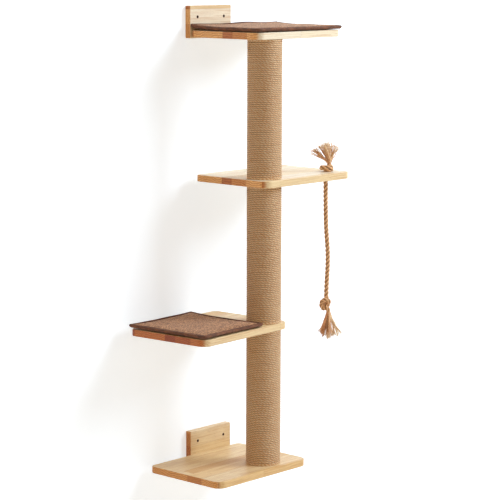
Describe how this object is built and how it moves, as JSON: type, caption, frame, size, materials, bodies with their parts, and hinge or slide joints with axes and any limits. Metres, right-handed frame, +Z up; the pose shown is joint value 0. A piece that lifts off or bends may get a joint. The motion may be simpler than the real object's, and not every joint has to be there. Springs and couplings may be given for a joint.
{
  "type": "wall mounted cat tree",
  "caption": "Wall mounted cat tree: a jute wrapped post with staggered wooden shelves, two wall boards, plush pads and a hanging play rope.",
  "frame": {"origin": "midway between the two wall screw holes of the top wall board, on that board's back face", "axes": "+X along the wall to the side of the hanging rope, +Y into the wall, +Z up"},
  "size_m": [0.5879, 0.2768, 1.209],
  "materials": {
    "wood": "clear satin lacquer on edge-glued strips",
    "jute": "jute rope wound tightly",
    "rope": "twisted three-strand jute rope",
    "pad": "short speckled plush with a bound edge",
    "grip": "hook strip",
    "tube": "wound paper",
    "steel": "zinc plated"
  },
  "bodies": {
    "frame": {"base_shelf": "wood", "lower_shelf": "wood", "middle_shelf": "wood", "top_shelf": "wood", "top_wall_board": "wood", "base_wall_board": "wood", "top_board_screws": "steel", "base_board_screws": "steel", "lower_post_core": "tube", "lower_post_wrap": "jute", "lower_post_bottom_plug": "wood", "lower_post_top_plug": "wood", "lower_post_inserts": "steel", "middle_post_core": "tube", "middle_post_wrap": "jute", "middle_post_bottom_plug": "wood", "middle_post_top_plug": "wood", "middle_post_inserts": "steel", "upper_post_core": "tube", "upper_post_wrap": "jute", "upper_post_bottom_plug": "wood", "upper_post_top_plug": "wood", "upper_post_inserts": "steel", "lower_stud": "steel", "middle_stud": "steel", "base_bolt": "steel", "base_washer": "steel", "top_bolt": "steel", "top_washer": "steel", "lower_pad_grips": "grip", "top_pad_grips": "grip", "rope_top_knot": "rope", "rope_fringe": "rope", "rope_in_hole": "rope"},
    "lower_mat": {"lower_pad": "pad"},
    "top_mat": {"top_pad": "pad"},
    "neck": {"rope_neck": "rope"},
    "rope": {"hanging_rope": "rope", "rope_end_knot": "rope", "rope_tassel": "rope"}
  },
  "joints": [
    {"name": "lower_pad_lift", "type": "slide", "parent": "frame", "child": "lower_mat", "axis": [0, 0, 1], "range_m": [0, 0.12]},
    {"name": "top_pad_lift", "type": "slide", "parent": "frame", "child": "top_mat", "axis": [0, 0, 1], "range_m": [0, 0.15]},
    {"name": "rope_swing_along", "type": "hinge", "parent": "frame", "child": "neck", "pos_m": [0.2355, -0.2155, -0.4334], "axis": [0, -1, 0], "range_deg": [-20, 60]},
    {"name": "rope_swing_out", "type": "hinge", "parent": "neck", "child": "rope", "pos_m": [0.2355, -0.2155, -0.4334], "axis": [1, 0, 0], "range_deg": [-60, 25]}
  ]
}
